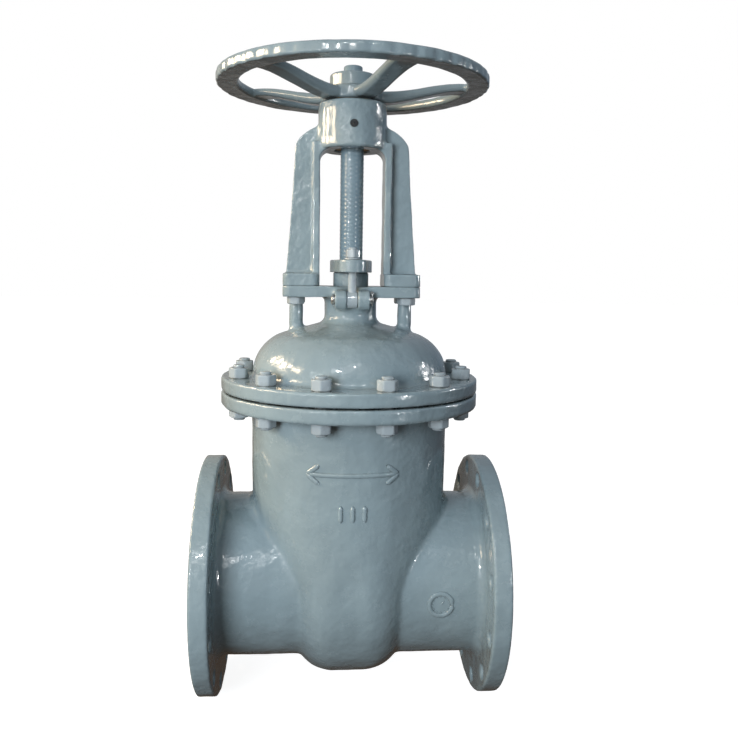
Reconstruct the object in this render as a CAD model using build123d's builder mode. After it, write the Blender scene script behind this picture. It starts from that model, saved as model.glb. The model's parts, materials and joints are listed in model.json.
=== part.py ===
from build123d import *
import math
import os

# Flanged wedge gate valve with an outside screw and yoke, shown closed.
# X runs along the pipe, Z up the stem, and the origin is where the two centre lines cross.
# All dimensions are in millimetres.

# ---- driving dimensions -------------------------------------------------------------------
FACE_TO_FACE = 570
BORE_R = 145
PIPE_R = 156

# end flanges, DN300 PN16 drilling
FLANGE_R = 230
FLANGE_T = 38
RAISED_FACE_R = 185
RAISED_FACE_H = 4
BOLT_CIRCLE_R = 205
BOLT_HOLE_R = 13
BOLT_COUNT = 12

# body neck, wedge pocket and body flange
WALL = 12
NECK_R = 187.5
NECK_FOOT_Z = 150
NECK_FLAT = 0.5
POCKET_HALF_X = 108
POCKET_CORNER_R = 80
BODY_TOP_Z = 368
BODY_FLANGE_T = 26
COVER_FLANGE_R = 245
COVER_BOLT_CIRCLE_R = 215
COVER_HOLE_R = 12

# seats and wedge
SEAT_HALF_X = 58
SEAT_ANGLE = 5
SEAT_RING_R = 165
SEAT_RING_T = 20
SEAT_BOSS_R = 172
WEDGE_R = 160
WEDGE_TOP_Z = 150
WEDGE_RING_T = 3
SEAT_GAP = 0.3
GUIDE_HALF_X = 8
GUIDE_TIP_Y = 153
GUIDE_LOW_Z = -20
GUIDE_HIGH_Z = 340

# T head of the stem, and its slot in the wedge
T_HEAD_HALF_X = 33
T_HEAD_HALF_Y = 32
T_HEAD_Z = 106
T_HEAD_H = 22
SLOT_CLEAR = 1

# bonnet
GASKET_T = 3
BONNET_Z = BODY_TOP_Z + GASKET_T
BONNET_FLANGE_T = 25
DOME_R = 186
SHOULDER_R = 80
SHOULDER_Z = 400
CONE_DEG = 16
BOX_R = 50
BOX_BORE_R = 34
BOX_FLOOR_Z = 503
PLATE_TOP_Z = 567
PLATE_T = 20
PLATE_HALF_X = 128
PLATE_HALF_Y = 58
COLUMN_X = 104
COLUMN_R = 13.5
COLUMN_FOOT_Z = 440
YOKE_BOLT_PITCH_Y = 68
YOKE_BOLT_R = 10
STUD_R = 11
STUD_END = 5

# stem
STEM_R = 22
STEM_TIP_R = 17.5
STEM_TOP_Z = 971
TIP_H = 15
COLLAR_R = 30
THREAD_LEAD = 8
STEM_TURNS = 38
LIFT = THREAD_LEAD * STEM_TURNS
BACKSEAT_Z = 486

# gland
PACKING_RINGS = 4
PACKING_H = 12
GLAND_R = 33.6
GLAND_FLANGE_Z = 593
GLAND_FLANGE_T = 23
GLAND_CENTRE_R = 40
GLAND_LOBE_R = 25
WASHER_R = 15
WASHER_T = 3
EYEBOLT_Y = 70
EYEBOLT_R = 8
EYE_Z = 543
EYE_R = 15
EYE_T = 19
EAR_R = 18
EAR_HALF_X = 32
PIN_R = 7
PIN_HALF_X = 39
SPLIT_PIN_X = 36.5

# yoke
FOOT_T = 23
LEG_IN_X = 60
LEG_BAND_T = 13
LEG_BAND_HALF_Y = 30
LEG_RIB_HALF_Y = 10
RIB_LOW_X = 123
RIB_HIGH_X = 106
WINDOW_TOP_Z = 819
HUB_R = 64
HUB_TOP_Z = 903
CHAMBER_FLOOR_Z = 836
BEARING_R = 45
BEARING_BORE_R = 32.5
BEARING_H = 18
RACE_T = 5
BALL_R = 4.5
BALLS = 18
RETAINER_R = 50
RETAINER_SCREW_Z = 895
OILER_Z = 858.5
OILER_HEAD_R = 7

# stem nut
RUNNING_FIT = 0.05
COLLAR_T = 14
NUT_TOP_R = 30
LOCK_NUT_R = 43
LOCK_NUT_H = 26
SPANNER_HOLE_R = 3
SPANNER_HOLE_DEPTH = 6
KEY_W = 10
KEY_LOW_R = 26
KEY_HIGH_R = 33.5

# handwheel
WHEEL_R = 251
RIM_W = 41
RIM_Z = 931
RIM_SIDE_H = 15
RIM_H = 18
WHEEL_HUB_R = 56
WHEEL_HUB_Z = 906
WHEEL_HUB_H = 23
SPOKE_W = 42
SPOKE_H = 19
SPOKES = 5
FIRST_SPOKE_DEG = 5

# threaded fasteners, by nominal size: across flats, nut height
M22 = (34, 19.5)
M20_HEAD = (30, 14)
M16 = (24, 15)

os.makedirs("parts", exist_ok=True)


# ---- shapes that several pieces share --------------------------------------------------------
def outline(points, plane=Plane.XZ):
    """A closed, straight-sided face: (radius, height) on XZ, (x, radius) on XY."""
    with BuildSketch(plane) as face:
        with BuildLine():
            Polyline(*points, close=True)
        make_face()
    return face.sketch


def ring(r_in, r_out, z_low, z_high, edge=0):
    """The half section of a ring about Z, with its outer edges bevelled by edge."""
    if not edge:
        return outline([(r_in, z_low), (r_out, z_low), (r_out, z_high), (r_in, z_high)])
    return outline([(r_in, z_low), (r_out - edge, z_low), (r_out, z_low + edge),
                    (r_out, z_high - edge), (r_out - edge, z_high), (r_in, z_high)])


def hex_nut(size, bore_r):
    """A hexagon nut standing on z = 0, its corners turned off at both ends."""
    flats, height = size
    corner_r = flats / math.sqrt(3)
    with BuildPart() as nut:
        with BuildSketch():
            RegularPolygon(flats / 2, 6, major_radius=False)
        extrude(amount=height)
        revolve(ring(0, corner_r, 0, height, edge=(corner_r - flats / 2) * 0.6),
                axis=Axis.Z, mode=Mode.INTERSECT)
        if bore_r:
            Hole(bore_r)
    return nut.part


def pocket(shrink):
    """The neck and the wedge pocket as one solid, every wall moved in by shrink."""
    neck_r = NECK_R - shrink
    corner_r = POCKET_CORNER_R - shrink
    half_x = POCKET_HALF_X - shrink
    sections = [(NECK_FOOT_Z, neck_r, neck_r - NECK_FLAT),
                (88, neck_r - 30, 150 - shrink),
                (24, half_x + 4, corner_r + 6),
                (0, half_x, corner_r)]
    with BuildPart() as shell:
        for height, half_width, rounding in sections:
            with BuildSketch(Plane.XY.offset(height)):
                RectangleRounded(2 * half_width, 2 * neck_r, rounding)
        loft()
        with BuildSketch(Plane.XY.offset(NECK_FOOT_Z)):
            RectangleRounded(2 * neck_r, 2 * neck_r, neck_r - NECK_FLAT)
        extrude(amount=BODY_TOP_Z - NECK_FOOT_Z)
        with BuildSketch():
            RectangleRounded(2 * half_x, 2 * neck_r, corner_r)
            with Locations((0, -neck_r)):
                Rectangle(2 * half_x, 2 * neck_r, mode=Mode.SUBTRACT)
        revolve(axis=Axis.X, revolution_arc=-180)
    return shell.part


def seat_plane(side, gap=0.0):
    """The plane of one seat face, leaning by SEAT_ANGLE, its normal away from the wedge."""
    lean = math.radians(SEAT_ANGLE)
    normal = (side * math.cos(lean), 0, -math.sin(lean))
    return Plane(origin=(side * SEAT_HALF_X, 0, 0), x_dir=(0, 1, 0), z_dir=normal).offset(gap)


# ---- body ----------------------------------------------------------------------------------------
half_length = FACE_TO_FACE / 2
rim_x = half_length - RAISED_FACE_H
back_x = half_length - FLANGE_T
pipe_end_x = back_x - 14
outer_pocket = pocket(0)
inner_pocket = pocket(WALL)

with BuildPart() as seat_bosses:
    for side in (-1, 1):
        with BuildSketch(seat_plane(side, gap=4)):
            Circle(SEAT_BOSS_R)
        extrude(amount=70)
    add(pocket(WALL / 2), mode=Mode.INTERSECT)

with BuildPart() as body:
    revolve(outline([(-half_length, 0), (-half_length, RAISED_FACE_R), (-rim_x, RAISED_FACE_R),
                     (-rim_x, FLANGE_R - 2), (-rim_x + 2, FLANGE_R), (-back_x - 2, FLANGE_R),
                     (-back_x, FLANGE_R - 2), (-back_x, PIPE_R + 14), (-back_x + 4, PIPE_R + 5),
                     (-pipe_end_x, PIPE_R), (pipe_end_x, PIPE_R), (back_x - 4, PIPE_R + 5),
                     (back_x, PIPE_R + 14), (back_x, FLANGE_R - 2), (back_x + 2, FLANGE_R),
                     (rim_x - 2, FLANGE_R), (rim_x, FLANGE_R - 2), (rim_x, RAISED_FACE_R),
                     (half_length, RAISED_FACE_R), (half_length, 0)], Plane.XY), axis=Axis.X)
    add(outer_pocket)
    flange_low = BODY_TOP_Z - BODY_FLANGE_T
    revolve(outline([(NECK_R - 5, flange_low - 12), (NECK_R, flange_low - 12),
                     (NECK_R + 3, flange_low - 4), (NECK_R + 9, flange_low),
                     (COVER_FLANGE_R - 2, flange_low), (COVER_FLANGE_R, flange_low + 2),
                     (COVER_FLANGE_R, BODY_TOP_Z - 2), (COVER_FLANGE_R - 2, BODY_TOP_Z),
                     (NECK_R - 5, BODY_TOP_Z)]), axis=Axis.Z)
    add(inner_pocket, mode=Mode.SUBTRACT)
    add(seat_bosses.part)
    for side in (-1, 1):
        with Locations((0, side * (GUIDE_TIP_Y + NECK_R - WALL / 2) / 2, GUIDE_LOW_Z)):
            Box(2 * GUIDE_HALF_X, NECK_R - WALL / 2 - GUIDE_TIP_Y, GUIDE_HIGH_Z - GUIDE_LOW_Z,
                align=(Align.CENTER, Align.CENTER, Align.MIN))
    for side in (-1, 1):
        with BuildSketch(seat_plane(side)):
            Circle(SEAT_RING_R)
        extrude(amount=SEAT_RING_T, mode=Mode.SUBTRACT)
    with Locations(Rotation(0, 90, 0)):
        Cylinder(BORE_R, FACE_TO_FACE + 2, mode=Mode.SUBTRACT)
    for side in (-1, 1):
        with Locations(Plane(origin=(side * back_x, 0, 0), x_dir=(0, 1, 0), z_dir=(side, 0, 0))):
            with PolarLocations(BOLT_CIRCLE_R, BOLT_COUNT, start_angle=15):
                Cylinder(BOLT_HOLE_R, 2 * FLANGE_T, mode=Mode.SUBTRACT)
    with Locations((0, 0, BODY_TOP_Z)):
        with PolarLocations(COVER_BOLT_CIRCLE_R, BOLT_COUNT, start_angle=15):
            Cylinder(COVER_HOLE_R, 3 * BODY_FLANGE_T, mode=Mode.SUBTRACT)
body.part.label = "body"
export_step(body.part, "parts/body.step")

with BuildPart() as seat_ring_inlet:
    with BuildSketch(seat_plane(-1)):
        Circle(SEAT_RING_R)
        Circle(BORE_R + 1, mode=Mode.SUBTRACT)
    extrude(amount=SEAT_RING_T)
seat_ring_inlet.part.label = "seat_ring_inlet"
export_step(seat_ring_inlet.part, "parts/seat_ring_inlet.step")

with BuildPart() as seat_ring_outlet:
    add(mirror(seat_ring_inlet.part, Plane.YZ))
seat_ring_outlet.part.label = "seat_ring_outlet"
export_step(seat_ring_outlet.part, "parts/seat_ring_outlet.step")

# ---- wedge ---------------------------------------------------------------------------------------
def wedge_face(side, height, recess):
    """A point of one wedge face, (x, height), recess behind the seat face."""
    return (side * (SEAT_HALF_X - recess + height * math.tan(math.radians(SEAT_ANGLE))), height)


ring_back = SEAT_GAP + WEDGE_RING_T
face_recess = ring_back / math.cos(math.radians(SEAT_ANGLE))
with BuildPart() as wedge:
    with BuildSketch(Plane.YZ):
        Circle(WEDGE_R)
        with Locations((0, WEDGE_TOP_Z + WEDGE_R / 2)):
            Rectangle(2 * WEDGE_R, WEDGE_R, mode=Mode.SUBTRACT)
    extrude(amount=100, both=True)
    faces_between = outline([wedge_face(-1, -WEDGE_R - 1, face_recess),
                             wedge_face(1, -WEDGE_R - 1, face_recess),
                             wedge_face(1, WEDGE_R, face_recess),
                             wedge_face(-1, WEDGE_R, face_recess)])
    extrude(faces_between, amount=WEDGE_R + 1, both=True, mode=Mode.INTERSECT)
    for side in (-1, 1):
        with Locations((0, side * (WEDGE_R + GUIDE_TIP_Y - 3) / 2, 0)):
            Box(2 * (GUIDE_HALF_X + SLOT_CLEAR), WEDGE_R - GUIDE_TIP_Y + 3, 2 * WEDGE_R,
                mode=Mode.SUBTRACT)
    slot_half_x = T_HEAD_HALF_X + SLOT_CLEAR
    slot_neck_x = STEM_R + SLOT_CLEAR
    slot_top = T_HEAD_Z + T_HEAD_H
    t_slot = outline([(-slot_half_x, T_HEAD_Z), (slot_half_x, T_HEAD_Z), (slot_half_x, slot_top),
                      (slot_neck_x, slot_top), (slot_neck_x, WEDGE_TOP_Z + 1),
                      (-slot_neck_x, WEDGE_TOP_Z + 1), (-slot_neck_x, slot_top),
                      (-slot_half_x, slot_top)])
    extrude(t_slot, amount=WEDGE_R + 1, both=True, mode=Mode.SUBTRACT)
wedge.part.label = "wedge"
export_step(wedge.part, "parts/wedge.step")

with BuildPart() as wedge_ring_inlet:
    with BuildSketch(seat_plane(-1, gap=-ring_back)):
        Circle(WEDGE_R - 3)
        Circle(BORE_R + 1, mode=Mode.SUBTRACT)
    extrude(amount=WEDGE_RING_T)
wedge_ring_inlet.part.label = "wedge_ring_inlet"
export_step(wedge_ring_inlet.part, "parts/wedge_ring_inlet.step")

with BuildPart() as wedge_ring_outlet:
    add(mirror(wedge_ring_inlet.part, Plane.YZ))
wedge_ring_outlet.part.label = "wedge_ring_outlet"
export_step(wedge_ring_outlet.part, "parts/wedge_ring_outlet.step")

# ---- bonnet --------------------------------------------------------------------------------------
flange_top = BONNET_Z + BONNET_FLANGE_T
plate_low = PLATE_TOP_Z - PLATE_T


def dome(shrink, neck_r, z_low, z_high):
    """Half section of the domed cover: wall, round shoulder, shallow cone, then a neck."""
    cone = math.radians(CONE_DEG)
    centre_r = DOME_R - SHOULDER_R
    bend = SHOULDER_R - shrink
    start = (centre_r + bend, SHOULDER_Z)
    end = (centre_r + bend * math.sin(cone), SHOULDER_Z + bend * math.cos(cone))
    middle = (centre_r + bend * math.cos(math.radians(90 - CONE_DEG) / 2),
              SHOULDER_Z + bend * math.sin(math.radians(90 - CONE_DEG) / 2))
    neck_z = end[1] + (end[0] - neck_r) * math.tan(cone)
    with BuildSketch(Plane.XZ) as face:
        with BuildLine():
            Line((0, z_low), (start[0], z_low))
            Line((start[0], z_low), start)
            ThreePointArc(start, middle, end)
            Line(end, (neck_r, neck_z))
            Line((neck_r, neck_z), (neck_r, z_high))
            Line((neck_r, z_high), (0, z_high))
            Line((0, z_high), (0, z_low))
        make_face()
    return face.sketch


with BuildPart() as bonnet:
    revolve(dome(0, BOX_R, BONNET_Z, PLATE_TOP_Z), axis=Axis.Z)
    box_foot = bonnet.edges().filter_by(GeomType.CIRCLE).filter_by(lambda e: abs(e.radius - BOX_R) < 0.1)
    fillet(box_foot.sort_by(Axis.Z)[0], 16)
    with BuildSketch(Plane.XY.offset(plate_low)):
        RectangleRounded(2 * PLATE_HALF_X, 2 * PLATE_HALF_Y, 14)
    extrude(amount=PLATE_T)
    for side in (-1, 1):
        with BuildSketch(Plane.XY.offset(COLUMN_FOOT_Z)):
            with Locations((side * COLUMN_X, 0)):
                Circle(COLUMN_R)
        extrude(amount=plate_low - COLUMN_FOOT_Z)
    revolve(outline([(DOME_R - 5, BONNET_Z), (COVER_FLANGE_R - 2, BONNET_Z),
                     (COVER_FLANGE_R, BONNET_Z + 2), (COVER_FLANGE_R, flange_top - 2),
                     (COVER_FLANGE_R - 2, flange_top), (DOME_R + 7, flange_top),
                     (DOME_R + 2, flange_top + 3), (DOME_R, flange_top + 9),
                     (DOME_R - 5, flange_top + 9)]), axis=Axis.Z)
    # two pairs of ears carry the eyebolt pins, one pair in front of the box and one behind
    for side in (-1, 1):
        with BuildSketch(Plane.YZ):
            with Locations((side * EYEBOLT_Y, EYE_Z)):
                Circle(EAR_R)
            with Locations((side * (EYEBOLT_Y + BOX_R - 12) / 2, EYE_Z)):
                Rectangle(EYEBOLT_Y - BOX_R + 12, 2 * EAR_R)
        extrude(amount=EAR_HALF_X, both=True)
    revolve(dome(WALL, BOX_BORE_R - 4, BONNET_Z, BACKSEAT_Z + 1), axis=Axis.Z, mode=Mode.SUBTRACT)
    with Locations((0, 0, BACKSEAT_Z + 10)):
        Cylinder(BOX_BORE_R - 4, 40, mode=Mode.SUBTRACT)
    with Locations((0, 0, BOX_FLOOR_Z)):
        Cylinder(BOX_BORE_R, 100, align=(Align.CENTER, Align.CENTER, Align.MIN), mode=Mode.SUBTRACT)
    for side in (-1, 1):
        with Locations((0, side * (EYEBOLT_Y + 3), EYE_Z)):
            Box(EYE_T + 1, 38, 44, mode=Mode.SUBTRACT)
        with Locations(Location((0, side * EYEBOLT_Y, EYE_Z), (0, 90, 0))):
            Cylinder(PIN_R + 0.1, 3 * EAR_HALF_X, mode=Mode.SUBTRACT)
    with Locations((0, 0, PLATE_TOP_Z)):
        with GridLocations(2 * COLUMN_X, YOKE_BOLT_PITCH_Y, 2, 2):
            Cylinder(YOKE_BOLT_R + 1, 3 * PLATE_T, mode=Mode.SUBTRACT)
    with Locations((0, 0, BONNET_Z)):
        with PolarLocations(COVER_BOLT_CIRCLE_R, BOLT_COUNT, start_angle=15):
            Cylinder(COVER_HOLE_R, 3 * BONNET_FLANGE_T, mode=Mode.SUBTRACT)
bonnet.part.label = "bonnet"
export_step(bonnet.part, "parts/bonnet.step")

with BuildPart() as bonnet_gasket:
    revolve(ring(NECK_R - WALL + 2, COVER_BOLT_CIRCLE_R - COVER_HOLE_R - 4, BODY_TOP_Z, BONNET_Z),
            axis=Axis.Z)
bonnet_gasket.part.label = "bonnet_gasket"
export_step(bonnet_gasket.part, "parts/bonnet_gasket.step")

with BuildPart() as backseat_bushing:
    revolve(outline([(STEM_R + 0.1, BACKSEAT_Z + 6), (STEM_R + 6, BACKSEAT_Z),
                     (BOX_BORE_R - 4, BACKSEAT_Z), (BOX_BORE_R - 4, BOX_FLOOR_Z),
                     (STEM_R + 0.1, BOX_FLOOR_Z)]), axis=Axis.Z)
backseat_bushing.part.label = "backseat_bushing"
export_step(backseat_bushing.part, "parts/backseat_bushing.step")

# ---- bonnet studs and nuts ---------------------------------------------------------------------
stud_low = BODY_TOP_Z - BODY_FLANGE_T - M22[1] - STUD_END
stud_high = flange_top + M22[1] + STUD_END
cover_nut = hex_nut(M22, STUD_R)


def on_cover_bolt_circle(height):
    """The twelve bonnet stud positions at one height, half a pitch off the pipe line."""
    return [Location((COVER_BOLT_CIRCLE_R * math.cos(math.radians(15 + 30 * n)),
                      COVER_BOLT_CIRCLE_R * math.sin(math.radians(15 + 30 * n)), height),
                     (0, 0, 37 * n)) for n in range(BOLT_COUNT)]


with BuildPart() as bonnet_studs:
    stud = Solid.revolve(ring(0, STUD_R, stud_low, stud_high, edge=1.5).face(), 360, Axis.Z)
    for place in on_cover_bolt_circle(0):
        add(place * stud)
bonnet_studs.part.label = "bonnet_studs"
export_step(bonnet_studs.part, "parts/bonnet_studs.step")

with BuildPart() as bonnet_nuts_top:
    for place in on_cover_bolt_circle(flange_top):
        add(place * cover_nut)
bonnet_nuts_top.part.label = "bonnet_nuts_top"
export_step(bonnet_nuts_top.part, "parts/bonnet_nuts_top.step")

with BuildPart() as bonnet_nuts_bottom:
    for place in on_cover_bolt_circle(BODY_TOP_Z - BODY_FLANGE_T - M22[1]):
        add(place * cover_nut)
bonnet_nuts_bottom.part.label = "bonnet_nuts_bottom"
export_step(bonnet_nuts_bottom.part, "parts/bonnet_nuts_bottom.step")

# ---- packing and gland -------------------------------------------------------------------------
packing_top = BOX_FLOOR_Z + PACKING_RINGS * PACKING_H
with BuildPart() as packing_rings:
    for n in range(PACKING_RINGS):
        low = BOX_FLOOR_Z + n * PACKING_H
        revolve(ring(STEM_R + RUNNING_FIT, BOX_BORE_R, low + 0.1, low + PACKING_H - 0.1), axis=Axis.Z)
packing_rings.part.label = "packing_rings"
export_step(packing_rings.part, "parts/packing_rings.step")

with BuildPart() as gland_follower:
    revolve(outline([(STEM_R + 0.5, packing_top), (GLAND_R, packing_top),
                     (GLAND_R, GLAND_FLANGE_Z - 2), (GLAND_R - 2, GLAND_FLANGE_Z),
                     (STEM_R + 0.5, GLAND_FLANGE_Z)]), axis=Axis.Z)
gland_follower.part.label = "gland_follower"
export_step(gland_follower.part, "parts/gland_follower.step")

gland_top = GLAND_FLANGE_Z + GLAND_FLANGE_T
with BuildPart() as gland_flange:
    with BuildSketch(Plane.XY.offset(GLAND_FLANGE_Z)):
        Circle(GLAND_CENTRE_R)
        with Locations((0, -EYEBOLT_Y), (0, EYEBOLT_Y)):
            Circle(GLAND_LOBE_R)
        make_hull()
        with Locations((0, -EYEBOLT_Y), (0, EYEBOLT_Y)):
            Circle(EYEBOLT_R + 1, mode=Mode.SUBTRACT)
        Circle(STEM_R + 2, mode=Mode.SUBTRACT)
    extrude(amount=GLAND_FLANGE_T)
    top_edges = gland_flange.edges().group_by(Axis.Z)[-1]
    fillet([edge for edge in top_edges if edge.geom_type == GeomType.LINE or edge.radius > STEM_R + 2],
           3)
gland_flange.part.label = "gland_flange"
export_step(gland_flange.part, "parts/gland_flange.step")

gland_nut_z = gland_top + WASHER_T
eyebolt_top = gland_nut_z + M16[1] + 4
with BuildPart() as gland_eyebolts:
    for side in (-1, 1):
        with Locations(Location((0, side * EYEBOLT_Y, EYE_Z), (0, 90, 0))):
            Cylinder(EYE_R, EYE_T)
        with Locations((0, side * EYEBOLT_Y, EYE_Z)):
            Cylinder(EYEBOLT_R, eyebolt_top - EYE_Z, align=(Align.CENTER, Align.CENTER, Align.MIN))
        with Locations(Location((0, side * EYEBOLT_Y, EYE_Z), (0, 90, 0))):
            Cylinder(PIN_R + RUNNING_FIT, 2 * EYE_T, mode=Mode.SUBTRACT)
gland_eyebolts.part.label = "gland_eyebolts"
export_step(gland_eyebolts.part, "parts/gland_eyebolts.step")

with BuildPart() as eyebolt_pins:
    for side in (-1, 1):
        with Locations(Location((0, side * EYEBOLT_Y, EYE_Z), (0, 90, 0))):
            Cylinder(PIN_R, 2 * PIN_HALF_X)
        with Locations(Location((-EAR_HALF_X - 2.5, side * EYEBOLT_Y, EYE_Z), (0, 90, 0))):
            Cylinder(PIN_R + 3, 5)
        with Locations((SPLIT_PIN_X, side * EYEBOLT_Y, EYE_Z)):
            Cylinder(1.6, 3 * PIN_R, mode=Mode.SUBTRACT)
eyebolt_pins.part.label = "eyebolt_pins"
export_step(eyebolt_pins.part, "parts/eyebolt_pins.step")

with BuildPart() as split_pins:
    for side in (-1, 1):
        with Locations((SPLIT_PIN_X, side * EYEBOLT_Y, EYE_Z)):
            Cylinder(1.5, 3 * PIN_R)
        with Locations(Location((SPLIT_PIN_X, side * EYEBOLT_Y, EYE_Z + PIN_R + 5), (90, 0, 0))):
            Torus(2.6, 1.2)
split_pins.part.label = "split_pins"
export_step(split_pins.part, "parts/split_pins.step")

with BuildPart() as gland_washers:
    with Locations((0, -EYEBOLT_Y, gland_top), (0, EYEBOLT_Y, gland_top)):
        Cylinder(WASHER_R, WASHER_T, align=(Align.CENTER, Align.CENTER, Align.MIN))
        Cylinder(EYEBOLT_R + 0.5, 3 * WASHER_T, mode=Mode.SUBTRACT)
gland_washers.part.label = "gland_washers"
export_step(gland_washers.part, "parts/gland_washers.step")

with BuildPart() as gland_nuts:
    gland_nut = hex_nut(M16, EYEBOLT_R)
    for side in (-1, 1):
        add(Location((0, side * EYEBOLT_Y, gland_nut_z), (0, 0, 10)) * gland_nut)
gland_nuts.part.label = "gland_nuts"
export_step(gland_nuts.part, "parts/gland_nuts.step")

# ---- stem ----------------------------------------------------------------------------------------
collar_top = BACKSEAT_Z - LIFT - 0.5
with BuildPart() as stem:
    revolve(outline([(0, T_HEAD_Z + T_HEAD_H), (STEM_R, T_HEAD_Z + T_HEAD_H),
                     (STEM_R, collar_top - 16), (COLLAR_R, collar_top - 12),
                     (COLLAR_R, collar_top - 2), (STEM_R + 6, collar_top),
                     (STEM_R, collar_top + 6), (STEM_R, STEM_TOP_Z - TIP_H - 4),
                     (STEM_TIP_R, STEM_TOP_Z - TIP_H), (STEM_TIP_R, STEM_TOP_Z - 2),
                     (STEM_TIP_R - 2, STEM_TOP_Z), (0, STEM_TOP_Z)]), axis=Axis.Z)
    with Locations((0, 0, T_HEAD_Z)):
        Box(2 * T_HEAD_HALF_X, 2 * T_HEAD_HALF_Y, T_HEAD_H, align=(Align.CENTER, Align.CENTER, Align.MIN))
stem.part.label = "stem"
export_step(stem.part, "parts/stem.step")

# ---- yoke ------------------------------------------------------------------------------------------
foot_top = PLATE_TOP_Z + FOOT_T
retainer_z = CHAMBER_FLOOR_Z + 2 * BEARING_H + COLLAR_T
with BuildPart() as yoke:
    # the ribbed outline of the frame seen from the front, left open by the window
    with BuildSketch(Plane.XZ):
        with BuildLine():
            Polyline((-RIB_LOW_X, foot_top - 1), (RIB_LOW_X, foot_top - 1), (RIB_HIGH_X + 5, 740),
                     (RIB_HIGH_X, 822))
            Spline((RIB_HIGH_X, 822), (97, 840), (80, 854), (HUB_R - 4, 870),
                   tangents=[(-2, 20), (-8, 18)])
            Line((HUB_R - 4, 870), (-HUB_R + 4, 870))
            Spline((-HUB_R + 4, 870), (-80, 854), (-97, 840), (-RIB_HIGH_X, 822),
                   tangents=[(-8, -18), (-2, -20)])
            Polyline((-RIB_HIGH_X, 822), (-RIB_HIGH_X - 5, 740), (-RIB_LOW_X, foot_top - 1))
        make_face()
    extrude(amount=LEG_RIB_HALF_Y, both=True)
    with BuildSketch(Plane.XZ):
        with Locations((0, (foot_top - 1 + WINDOW_TOP_Z + LEG_BAND_T) / 2)):
            Rectangle(2 * (LEG_IN_X + LEG_BAND_T), WINDOW_TOP_Z + LEG_BAND_T - foot_top + 1)
    extrude(amount=LEG_BAND_HALF_Y, both=True)
    with BuildSketch(Plane.XY.offset(PLATE_TOP_Z)):
        with Locations((-(LEG_IN_X + PLATE_HALF_X) / 2, 0), ((LEG_IN_X + PLATE_HALF_X) / 2, 0)):
            RectangleRounded(PLATE_HALF_X - LEG_IN_X, 2 * PLATE_HALF_Y, 14)
    extrude(amount=FOOT_T)
    revolve(ring(0, HUB_R, WINDOW_TOP_Z, HUB_TOP_Z, edge=3), axis=Axis.Z)
    with BuildSketch(Plane.XZ):
        with Locations((0, (PLATE_TOP_Z - 10 + WINDOW_TOP_Z) / 2)):
            RectangleRounded(2 * LEG_IN_X, WINDOW_TOP_Z - PLATE_TOP_Z + 10, 18)
    extrude(amount=HUB_R + 1, both=True, mode=Mode.SUBTRACT)
    revolve(outline([(0, WINDOW_TOP_Z - 1), (BEARING_BORE_R + 0.5, WINDOW_TOP_Z - 1),
                     (BEARING_BORE_R + 0.5, CHAMBER_FLOOR_Z), (BEARING_R + 0.1, CHAMBER_FLOOR_Z),
                     (BEARING_R + 0.1, retainer_z), (RETAINER_R, retainer_z),
                     (RETAINER_R, HUB_TOP_Z + 1), (0, HUB_TOP_Z + 1)]), axis=Axis.Z,
            mode=Mode.SUBTRACT)
    with Locations((0, 0, PLATE_TOP_Z)):
        with GridLocations(2 * COLUMN_X, YOKE_BOLT_PITCH_Y, 2, 2):
            Cylinder(YOKE_BOLT_R, 2 * FOOT_T - 4, mode=Mode.SUBTRACT)
    with Locations(Location((0, -HUB_R, OILER_Z), (90, 0, 0))):
        Cylinder(4, 60, mode=Mode.SUBTRACT)
    with Locations(Location((0, HUB_R, RETAINER_SCREW_Z), (90, 0, 0))):
        Cylinder(3, 36, mode=Mode.SUBTRACT)
yoke.part.label = "yoke"
export_step(yoke.part, "parts/yoke.step")

with BuildPart() as yoke_bolts:
    bolt_head = hex_nut(M20_HEAD, 0)
    for x in (-COLUMN_X, COLUMN_X):
        for y in (-YOKE_BOLT_PITCH_Y / 2, YOKE_BOLT_PITCH_Y / 2):
            add(Location((x, y, plate_low - M20_HEAD[1]), (0, 0, 20)) * bolt_head)
            with Locations((x, y, plate_low - 1)):
                Cylinder(YOKE_BOLT_R, PLATE_T + 20, align=(Align.CENTER, Align.CENTER, Align.MIN))
yoke_bolts.part.label = "yoke_bolts"
export_step(yoke_bolts.part, "parts/yoke_bolts.step")

# ---- stem nut and its two thrust bearings ---------------------------------------------------
journal_r = BEARING_BORE_R - RUNNING_FIT
collar_z = CHAMBER_FLOOR_Z + BEARING_H
upper_bearing_z = collar_z + COLLAR_T
nut_low_z = WINDOW_TOP_Z + 3
wheel_top_z = WHEEL_HUB_Z + WHEEL_HUB_H
lock_nut_top = wheel_top_z + LOCK_NUT_H


def key_block(longer):
    """The wheel key's block, beside the stem on the +X side, its length grown by longer."""
    with BuildPart() as block:
        with Locations(((KEY_LOW_R + KEY_HIGH_R) / 2, 0, WHEEL_HUB_Z + WHEEL_HUB_H / 2)):
            Box(KEY_HIGH_R - KEY_LOW_R, KEY_W, WHEEL_HUB_H + longer)
    return block.part


with BuildPart() as stem_nut:
    revolve(outline([(STEM_R + RUNNING_FIT, nut_low_z), (journal_r, nut_low_z),
                     (journal_r, collar_z), (BEARING_R - 3, collar_z),
                     (BEARING_R - 3, upper_bearing_z), (journal_r, upper_bearing_z),
                     (journal_r, WHEEL_HUB_Z), (NUT_TOP_R, WHEEL_HUB_Z),
                     (NUT_TOP_R, lock_nut_top - 1.5), (NUT_TOP_R - 1.5, lock_nut_top),
                     (STEM_R + RUNNING_FIT, lock_nut_top)]), axis=Axis.Z)
    add(key_block(0), mode=Mode.SUBTRACT)
stem_nut.part.label = "stem_nut"
export_step(stem_nut.part, "parts/stem_nut.step")

ball_circle_r = (BEARING_R + BEARING_BORE_R) / 2


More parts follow.
